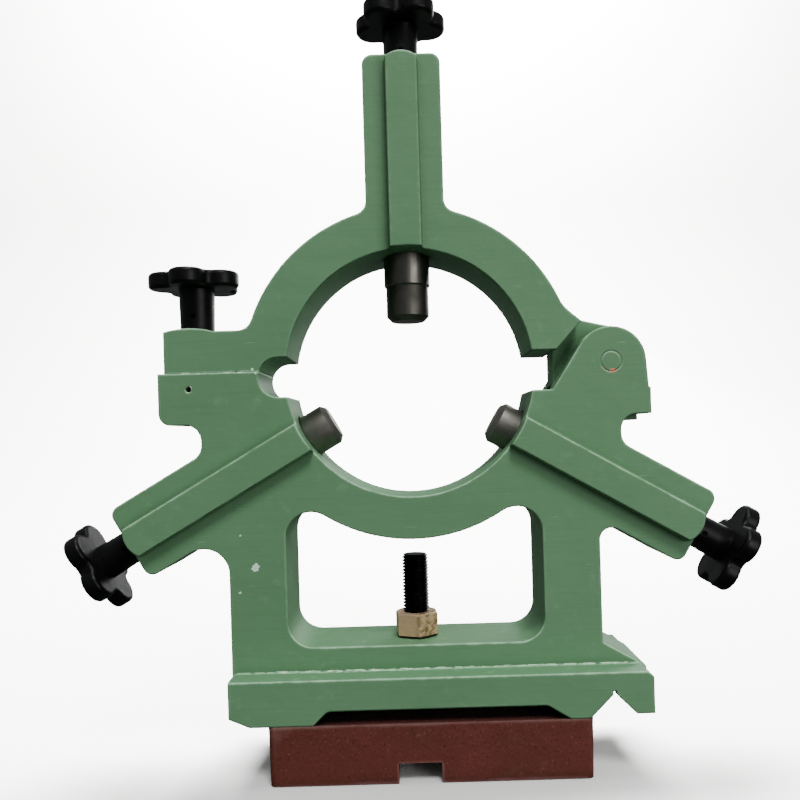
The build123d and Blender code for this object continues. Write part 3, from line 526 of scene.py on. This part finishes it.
def aged_zinc():
    """Zinc plate, aged to a tan bloom, with darker stains, darkest on the right side as painted shade, paler
    rubbed edges, and a painted contact shadow at its foot.
    """
    material, tree, shader, place = new_material("aged_zinc_plate")
    shader.inputs["Metallic"].default_value = 0.6
    stains = add(tree, "ShaderNodeTexNoise", {
        "Vector": place, "Scale": per(3.5), "Detail": 5.0, "Roughness": 0.7}).outputs["Fac"]
    split = add(tree, "ShaderNodeSeparateXYZ", {"Vector": place})
    # The stains are held to the nut's right side, which makes that side darker as painted shade
    right_side_shade = add(tree, "ShaderNodeMapRange", {
        "Value": split.outputs["X"], "From Min": -1 * MM, "From Max": 2 * MM,
        "To Min": 0.15, "To Max": 1.0}).outputs["Result"]
    blotches = add(tree, "ShaderNodeMapRange", {
        "Value": stains, "From Min": 0.46, "From Max": 0.56}).outputs["Result"]
    stains_and_shade = add(tree, "ShaderNodeMath", {0: blotches, 1: right_side_shade}, operation="MULTIPLY").outputs["Value"]
    tone = add(tree, "ShaderNodeMix", {
        SHARE: stains_and_shade, UNDER: linear("#DDB892"), OVER: linear("#8A7048")}, data_type="RGBA").outputs[MIXED]
    edges = add(tree, "ShaderNodeAmbientOcclusion", {
        "Distance": 1.2 * MM}, samples=6, inside=True).outputs["AO"]
    rubbed = add(tree, "ShaderNodeMapRange", {
        "Value": edges, "From Min": 0.4, "From Max": 0.9, "To Min": 0.9, "To Max": 0.0}).outputs["Result"]
    edged = add(tree, "ShaderNodeMix", {
        SHARE: rubbed, UNDER: tone, OVER: linear("#F6E2C2")}, data_type="RGBA").outputs[MIXED]
    # Painted contact shadow: black along the nut's foot
    foot = add(tree, "ShaderNodeMath", {
        0: split.outputs["Z"], 1: WINDOW_FLOOR * MM, 2: 1.5 * MM}, operation="COMPARE").outputs["Value"]
    foot_shadowed = add(tree, "ShaderNodeMix", {
        SHARE: foot, UNDER: edged, OVER: linear("#17120C")}, data_type="RGBA").outputs[MIXED]
    tree.links.new(foot_shadowed, shader.inputs["Base Color"])
    rough = add(tree, "ShaderNodeMapRange", {
        "Value": stains, "From Min": 0.3, "From Max": 0.7, "To Min": 0.38, "To Max": 0.6}).outputs["Result"]
    tree.links.new(rough, shader.inputs["Roughness"])
    pitted = add(tree, "ShaderNodeBump", {
        "Height": stains, "Strength": 0.3, "Distance": 0.1 * MM}).outputs["Normal"]
    tree.links.new(pitted, shader.inputs["Normal"])
    return material


def black_oxide():
    """Black oxide on cut steel: almost black, dark grey where it is rubbed, and faintly pitted."""
    material, tree, shader, place = new_material("black_oxide_steel")
    shader.inputs["Metallic"].default_value = 1.0
    shader.inputs["Roughness"].default_value = 0.42
    rub = add(tree, "ShaderNodeTexNoise", {
        "Vector": place, "Scale": per(2.5), "Detail": 4.0, "Roughness": 0.7}).outputs["Fac"]
    rubbed = add(tree, "ShaderNodeMapRange", {
        "Value": rub, "From Min": 0.5, "From Max": 0.75}).outputs["Result"]
    tone = add(tree, "ShaderNodeMix", {
        SHARE: rubbed, UNDER: linear("#0B0B0B"), OVER: linear("#242423")}, data_type="RGBA").outputs[MIXED]
    tree.links.new(tone, shader.inputs["Base Color"])
    pitted = add(tree, "ShaderNodeBump", {
        "Height": rub, "Strength": 0.3, "Distance": 0.05 * MM}).outputs["Normal"]
    tree.links.new(pitted, shader.inputs["Normal"])
    return material


def dress(node, material, edge_mm):
    """Gives a solid its material, and breaks its sharp edges by a width."""
    piece = NODES[node]
    piece.data.materials.clear()
    piece.data.materials.append(material)
    weld = piece.modifiers.new("weld", "WELD")
    weld.merge_threshold = WELD_GAP * MM
    bevel = piece.modifiers.new("broken_edges", "BEVEL")
    bevel.width = edge_mm * MM
    bevel.segments = EDGE_SEGMENTS
    bevel.limit_method = "ANGLE"
    bevel.angle_limit = SHARP_ANGLE
    bevel.harden_normals = True


def place_piece(piece, node, body, material):
    """Puts a new piece in the place of a solid, on its body and with its finish."""
    bpy.context.scene.collection.objects.link(piece)
    piece.data.materials.clear()
    piece.data.materials.append(material)
    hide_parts(node)
    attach(piece, body)


# Where the castings were cut after casting, in mm
NEAR = 0.5                   # how near to a cut face its edges lie
GROOVE_LEFT = 90.0           # the bed groove lies right of this, and below the next
GROOVE_TOP = FEET + 20
HOLE_SIDE = 10.0             # the bolt's hole lies within this, up to the window's floor
HOLE_TOP = WINDOW_FLOOR + 1
PIT_REACH = 3.0              # the pit's edges lie within this


def is_crisp(x, y, z):
    """Whether an edge at a place in mm was cut after casting."""
    at_pin = abs(hypot(x - PIN_X, z - PIN_Z) - PIN_RADIUS) < NEAR
    at_tongue = abs(abs(y) - TONGUE_SIDE) < NEAR
    at_joint = abs(z - JOINT) < NEAR and x < 0
    at_groove = x > GROOVE_LEFT and z < GROOVE_TOP
    at_hole = abs(x) < HOLE_SIDE and abs(y) < abs(FRONT) and z < HOLE_TOP
    at_pit = abs(x - PIT_X) < PIT_REACH and abs(z - PIT_Z) < PIT_REACH
    return at_pin or at_tongue or at_joint or at_groove or at_hole or at_pit


def fettled_casting(node, name, body, material):
    """A copy of a casting whose sharp edges are broken, more where they were fettled than where cut."""
    mesh = NODES[node].data.copy()
    mesh.name = name
    shape = bmesh.new()
    shape.from_mesh(mesh)
    bmesh.ops.remove_doubles(shape, verts=shape.verts, dist=WELD_GAP * MM)
    weight = shape.edges.layers.float.new("bevel_weight_edge")
    for edge in shape.edges:
        if edge.is_manifold and edge.calc_face_angle() > SHARP_ANGLE:
            middle = (edge.verts[0].co + edge.verts[1].co) / 2 / MM
            edge[weight] = CRISP_EDGE / ROUND_EDGE if is_crisp(*middle) else 1.0
    shape.to_mesh(mesh)
    shape.free()
    casting = bpy.data.objects.new(name, mesh)
    place_piece(casting, node, body, material)
    bevel = casting.modifiers.new("fettled_edges", "BEVEL")
    bevel.width = ROUND_EDGE * MM
    bevel.segments = EDGE_SEGMENTS
    bevel.limit_method = "WEIGHT"
    bevel.harden_normals = True


# Threads: shares of the pitch that the flat crest and the two flanks take, and rings to each pitch
CREST_SHARE = 0.25
FLANKS_SHARE = 0.55
RINGS_PER_PITCH = 10
RING_SIDES = 60
THREAD_CREASE = radians(32)


def thread_radius(height, turn, pitch, crest, root, hand):
    """Radius of a thread at a height and a turn. Its hand is 1 for right and -1 for left."""
    phase = (height / pitch - hand * turn / tau) % 1
    share = (abs(2 * phase - 1) - CREST_SHARE) / FLANKS_SHARE
    return crest + (root - crest) * min(max(share, 0), 1)


def thread_rings(start, steps, pitch, crest, root, limit, hand=1):
    """Rings of a thread from a height on. Crest and limit give radii there, and no ring passes the limit."""
    rings = []
    for i in steps:
        height = start + i * pitch / RINGS_PER_PITCH
        rings.append((height, lambda turn, h=height: min(
            limit(h), thread_radius(h, turn, pitch, crest(h), root, hand))))
    return rings


def plain(radius):
    """A round ring of one radius."""
    return lambda turn: radius


def hex_radius(turn, flats):
    """Radius of a hexagon with a flat towards its x axis."""
    sixth = pi / 3
    return flats / 2 / cos((turn + sixth / 2) % sixth - sixth / 2)


def ringed_solid(name, rings, axes, origin=(0, 0, 0)):
    """A closed solid from rings along an axis, each a height and a radius for every turn, in mm."""
    turns = [tau * i / RING_SIDES for i in range(RING_SIDES)]
    points = [(Vector(origin) + axes @ Vector((radius(t) * cos(t), radius(t) * sin(t), height))) * MM
              for height, radius in rings for t in turns]
    faces = [tuple(reversed(range(RING_SIDES)))]
    for row in range(len(rings) - 1):
        low = row * RING_SIDES
        high = low + RING_SIDES
        for i in range(RING_SIDES):
            j = (i + 1) % RING_SIDES
            faces.append((low + i, low + j, high + j, high + i))
    last = (len(rings) - 1) * RING_SIDES
    faces.append(tuple(range(last, last + RING_SIDES)))
    mesh = bpy.data.meshes.new(name)
    mesh.from_pydata(points, [], faces)
    for face in mesh.polygons:
        face.use_smooth = True
    mesh.set_sharp_from_angle(angle=THREAD_CREASE)
    return bpy.data.objects.new(name, mesh)


# Clamp bolt in mm: hexagon head with turned corners, plain shank, M16 thread with 2 mm pitch
BOLT_FLATS = 24.0
BOLT_CREST = 8.0
BOLT_ROOT = 6.9
BOLT_PITCH = 2.0
BOLT_POINT = 1.2             # how much the chamfer takes off the thread's end
HEAD_HEIGHT = 10.0
HEAD_TURNED = 1.2            # height of the turned corners
HEAD_SLOPE = 1.73            # their width for each mm of height
HEAD_FACE_IN = 0.2           # how far the head's face stops short of its flats
HEAD_RINGS = 4               # rings over the turned corners
THREAD_LENGTH = 66.0
RUN_OUT = 0.5                # between the plain shank and the first turn


def make_clamp_bolt(material):
    """The clamp bolt, head down, with its thread in the place of the solid's plain cylinder."""
    low, high = box_of("clamp_bolt")
    foot = low[2]
    end = high[2]
    thread_start = end - THREAD_LENGTH
    rises = [HEAD_TURNED * i / HEAD_RINGS for i in range(HEAD_RINGS + 1)]
    rings = [(foot + rise, lambda turn, r=rise: min(
        hex_radius(turn, BOLT_FLATS), BOLT_FLATS / 2 - HEAD_FACE_IN + r * HEAD_SLOPE)) for rise in rises]
    rings += [(foot + HEAD_HEIGHT, lambda turn: hex_radius(turn, BOLT_FLATS))]
    rings += [(foot + HEAD_HEIGHT, plain(BOLT_CREST)), (thread_start - RUN_OUT, plain(BOLT_CREST))]
    count = round(THREAD_LENGTH / BOLT_PITCH * RINGS_PER_PITCH)
    rings += thread_rings(thread_start, range(count + 1), BOLT_PITCH, lambda height: BOLT_CREST, BOLT_ROOT,
                          lambda height: BOLT_CREST - BOLT_POINT + end - height)
    bolt = ringed_solid("threaded_clamp_bolt", rings, Matrix.Identity(3))
    place_piece(bolt, "clamp_bolt", "clamp", material)


# Locking screw in mm: M12 thread up to its shank, a little smaller in the lower lug so that it lifts out
LOCK_CREST = 6.0
LOCK_SMALL_CREST = 5.5
LOCK_ROOT = 4.95
LOCK_PITCH = 1.75
LOCK_POINT = 1.2             # how much the chamfer takes off the root at the screw's end
LOCK_THREAD_END = 20.0


def make_lock_screw(material):
    """The locking screw, point down, with its thread in the place of the solid's plain cylinder."""
    low, high = box_of("lock_screw")
    start = low[2]
    count = round((LOCK_THREAD_END - start) / LOCK_PITCH * RINGS_PER_PITCH)
    rings = thread_rings(start, range(count), LOCK_PITCH,
                         lambda height: LOCK_SMALL_CREST if height < JOINT else LOCK_CREST, LOCK_ROOT,
                         lambda height: LOCK_ROOT - LOCK_POINT + height - start)
    rings += [(LOCK_THREAD_END, plain(LOCK_CREST)), (high[2], plain(LOCK_CREST))]
    centre = ((low[0] + high[0]) / 2, 0, 0)
    screw = ringed_solid("threaded_lock_screw", rings, Matrix.Identity(3), centre)
    place_piece(screw, "lock_screw", "lock", material)


# Feed screws in mm: left-hand thread of 3 mm pitch, thrust collar, and a shank up into the knob
FEED_START = 98.0            # the screw's inner end, from the work axis
FEED_CREST = 7.0
FEED_ROOT = 5.3
FEED_PITCH = 3.0
COLLAR_RADIUS = 11.0
COLLAR_LENGTH = 5.0
COLLAR_EDGE = 0.4
COLLAR_DEPTH = 16.3          # below the arm's end
SHANK_RADIUS = 6.0
SHANK_RISE = 22.3            # above the arm's end


def make_feed_screw(arm, outward, material):
    """An arm's feed screw along its direction, with its thread and its collar."""
    collar_end = ARM_ENDS[arm] - COLLAR_DEPTH
    collar_start = collar_end - COLLAR_LENGTH
    thread_end = collar_start - FEED_PITCH
    count = round((thread_end - FEED_START) / FEED_PITCH * RINGS_PER_PITCH)
    rings = [(FEED_START, plain(FEED_ROOT))]
    rings += thread_rings(FEED_START, range(1, count), FEED_PITCH, lambda height: FEED_CREST, FEED_ROOT,
                          lambda height: FEED_CREST, hand=-1)
    for height, radius in (
        (thread_end, FEED_ROOT),
        (collar_start, FEED_ROOT),
        (collar_start, COLLAR_RADIUS - COLLAR_EDGE),
        (collar_start + COLLAR_EDGE, COLLAR_RADIUS),
        (collar_end - COLLAR_EDGE, COLLAR_RADIUS),
        (collar_end, COLLAR_RADIUS - COLLAR_EDGE),
        (collar_end, SHANK_RADIUS),
        (ARM_ENDS[arm] + SHANK_RISE, SHANK_RADIUS),
    ):
        rings.append((height, plain(radius)))
    along = Vector(outward)
    across = Vector((0, -1, 0))
    axes = Matrix((across.cross(along), across, along)).transposed()
    screw = ringed_solid(f"threaded_{arm}_feed_screw", rings, axes)
    place_piece(screw, f"{arm}_feed_screw", f"{arm}_feed", material)


def dress_arm(arm, angle, plastic, oxide):
    """The pieces of one arm: its quill, tip, screw, gland and guide screw, and the knob with its pin."""
    outward = (cos(radians(angle)), 0, sin(radians(angle)))
    quill_steel = turned_steel(f"{arm}_ground_steel", outward, *QUILL_SHADES, ring_mm=0.6, roughness=0.36)
    # Painted light: the lower arms' tips are coloured lighter, and the top one's darker
    tip_steel = turned_steel(f"{arm}_worn_tip_steel_painted_light", outward, *TIP_PAINTED_LIGHT_SHADES[arm], ring_mm=0.9, roughness=0.46)
    screw_steel = turned_steel(f"{arm}_turned_steel", outward, *STEEL_SHADES, ring_mm=0.5, roughness=0.34)
    dress(f"{arm}_quill", quill_steel, edge_mm=0.3)
    dress(f"{arm}_jaw_tip", tip_steel, edge_mm=0.3)
    dress(f"{arm}_gland", screw_steel, edge_mm=0.3)
    make_feed_screw(arm, outward, screw_steel)
    dress(f"{arm}_guide_screw", oxide, edge_mm=0.2)
    dress(f"{arm}_knob", plastic, edge_mm=0.7)
    dress(f"{arm}_knob_pin", oxide, edge_mm=0.2)


# Camera of the photograph: pixels of its frame, mm from the work axis, and the sine of its roll
FRAME_WIDTH = 800
FOCAL_LENGTH = 796
SHIFT_X = -14
SHIFT_Y = 35
CAMERA_PLACE = (1.6, -492, -36.9)
ROLL = 0.0288
SENSOR_WIDTH = 36
# What the lights are aimed at, in metres: a little below the work axis
AIM = (0, 0, -0.05)


def set_camera():
    """The camera of the photograph: square to the front, rolled a little, and looking a little off centre."""
    data = bpy.data.cameras.new("photo_camera")
    data.sensor_width = SENSOR_WIDTH
    data.lens = SENSOR_WIDTH * FOCAL_LENGTH / FRAME_WIDTH
    data.shift_x = SHIFT_X / FRAME_WIDTH
    data.shift_y = SHIFT_Y / FRAME_WIDTH
    data.clip_start = 0.01
    camera = bpy.data.objects.new("photo_camera", data)
    bpy.context.scene.collection.objects.link(camera)
    level = (1 - ROLL ** 2) ** 0.5
    x, y, z = [v * MM for v in CAMERA_PLACE]
    camera.matrix_world = Matrix((
        (level, ROLL, 0, x),
        (0, 0, -1, y),
        (-ROLL, level, 0, z),
        (0, 0, 0, 1)))
    bpy.context.scene.camera = camera


def lay_floor():
    """A pale floor that sweeps up into a wall behind, in metres, a hair below the plate that stands on it."""
    gap = 0.3 * MM
    level = solid_box[0][2] - gap
    near = -2.6
    wall = 1.9
    bend = 0.9
    wall_height = 3.2
    side = 3.4
    rows = [(near, level), (wall - bend, level)]
    for degrees in range(6, 91, 6):
        turn = radians(degrees)
        rows.append((wall - bend + bend * sin(turn), level + bend - bend * cos(turn)))
    rows.append((wall, level + wall_height))
    points = [(x, y, z) for y, z in rows for x in (-side, side)]
    faces = [(2 * i, 2 * i + 1, 2 * i + 3, 2 * i + 2) for i in range(len(rows) - 1)]
    mesh = bpy.data.meshes.new("studio_floor")
    mesh.from_pydata(points, [], faces)
    for face in mesh.polygons:
        face.use_smooth = True
    sheet = bpy.data.objects.new("studio_floor", mesh)
    studio = bpy.data.collections.new("studio")
    bpy.context.scene.collection.children.link(studio)
    studio.objects.link(sheet)
    # The part isn't lit by the paper or mirrored on it: the air's own light stands in for its bounce
    sheet.visible_diffuse = False
    sheet.visible_glossy = False
    material, tree, shader, place = new_material("matt_studio_paper")
    grain = add(tree, "ShaderNodeTexNoise", {
        "Vector": place, "Scale": per(400), "Detail": 2.0}).outputs["Fac"]
    tone = add(tree, "ShaderNodeMix", {
        SHARE: grain, UNDER: linear("#F4F4F1"), OVER: linear("#F8F8F6")}, data_type="RGBA").outputs[MIXED]
    tree.links.new(tone, shader.inputs["Base Color"])
    shader.inputs["Roughness"].default_value = 0.9
    mesh.materials.append(material)
    return studio


def hang_light(name, place, aim, size, watts, lit=None):
    """A soft square light in metres, aimed at a point, that lights everything or one collection."""
    data = bpy.data.lights.new(name, "AREA")
    data.size = size
    data.energy = watts
    lamp = bpy.data.objects.new(name, data)
    bpy.context.scene.collection.objects.link(lamp)
    lamp.location = place
    lamp.rotation_euler = (Vector(place) - Vector(aim)).to_track_quat("Z", "Y").to_euler()
    lamp.visible_camera = False
    if lit:
        lamp.light_linking.receiver_collection = lit


def fill_air():
    """The light of the room itself: pale above, dim below, as over a dark shop floor."""
    world = bpy.data.worlds.new("studio_air")
    world.use_nodes = True
    tree = world.node_tree
    direction = add(tree, "ShaderNodeTexCoord").outputs["Generated"]
    height = add(tree, "ShaderNodeSeparateXYZ", {"Vector": direction}).outputs["Z"]
    share = add(tree, "ShaderNodeMapRange", {
        "Value": height, "From Min": -0.6, "From Max": 0.8}).outputs["Result"]
    tone = add(tree, "ShaderNodeMix", {
        SHARE: share, UNDER: linear("#6C726F"), OVER: linear("#DDE2E4")}, data_type="RGBA").outputs[MIXED]
    tree.links.new(tone, tree.nodes["Background"].inputs["Color"])
    tree.nodes["Background"].inputs["Strength"].default_value = 0.55
    bpy.context.scene.world = world


green = brushed_enamel()
primer = speckled_primer()
plastic = moulded_phenolic()
oxide = black_oxide()
zinc = aged_zinc()
upright_steel = turned_steel("turned_steel", (0, 0, 1), *STEEL_SHADES, ring_mm=0.5, roughness=0.34)

fettled_casting("base_casting", "fettled_base", "base", green)
fettled_casting("arch_casting", "fettled_arch", "arch", green)
dress("hinge_pin", green, edge_mm=0.35)
dress("clamp_plate", primer, edge_mm=1.5)
for arm, angle in ARM_ANGLES.items():
    dress_arm(arm, angle, plastic, oxide)
dress("lock_knob", plastic, edge_mm=0.7)
dress("lock_knob_pin", oxide, edge_mm=0.2)
make_lock_screw(upright_steel)
dress("lock_washer", zinc, edge_mm=0.3)
dress("clamp_nut", zinc, edge_mm=0.5)
make_clamp_bolt(oxide)

set_camera()
studio = lay_floor()
fill_air()
hang_light("overhead_softbox", (0.6, -2.3, 3.2), AIM, size=1.2, watts=116)
hang_light("side_fill", (1.3, -1.7, 0.1), AIM, size=1.1, watts=20)
hang_light("top_lamp", (0, 0.25, 3.4), AIM, size=1.0, watts=42)
hang_light("rear_softbox", (0.8, 1.5, 0.6), AIM, size=0.9, watts=15)
hang_light("back_wall_light", (0, 0.9, 1.9), (0, 1.7, 0.2), size=1.6, watts=640, lit=studio)
